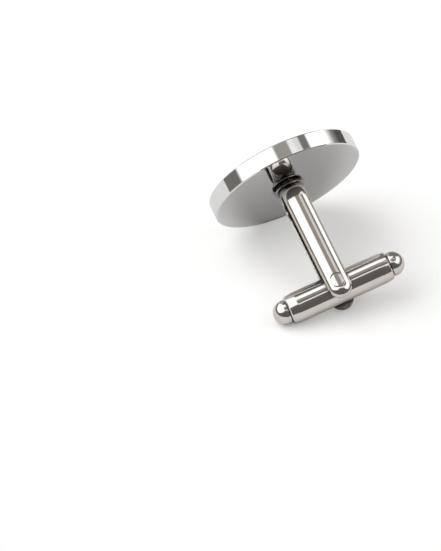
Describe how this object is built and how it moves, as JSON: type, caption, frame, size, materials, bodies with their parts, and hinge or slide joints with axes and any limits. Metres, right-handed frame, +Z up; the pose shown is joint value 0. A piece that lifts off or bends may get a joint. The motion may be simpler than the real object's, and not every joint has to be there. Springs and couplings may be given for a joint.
{
  "type": "cufflink",
  "caption": "Round polished cufflink with a bent strip post and a hollow bar that swivels on a pin to pass through a buttonhole and then holds the cuff shut.",
  "frame": {"origin": "on the surface that the cufflink lies on, under the middle of its box", "axes": "+Z up from that surface; the post leans down towards +Y, so the face looks along -Y and up; +X is to the right as seen from the face's side"},
  "size_m": [0.0202, 0.0232, 0.0194],
  "materials": {
    "mirror_face": "mirror polished plating",
    "polished_nickel": "bright polished nickel plating",
    "spring_bronze": "rolled phosphor bronze"
  },
  "bodies": {
    "face_and_post": {"face_disc": "mirror_face", "base_stud": "polished_nickel", "post_frame": "polished_nickel", "pivot_pin": "polished_nickel"},
    "toggle": {"toggle_tube": "polished_nickel", "end_ball_left": "polished_nickel", "end_ball_right": "polished_nickel", "detent_spring_front": "spring_bronze", "detent_spring_rear": "spring_bronze"}
  },
  "joints": [
    {"name": "toggle_swivel", "type": "hinge", "parent": "face_and_post", "child": "toggle", "pos_m": [0, 0.00856, 0.00342], "axis": [0.2533, 0.369, 0.8942], "continuous": true}
  ]
}
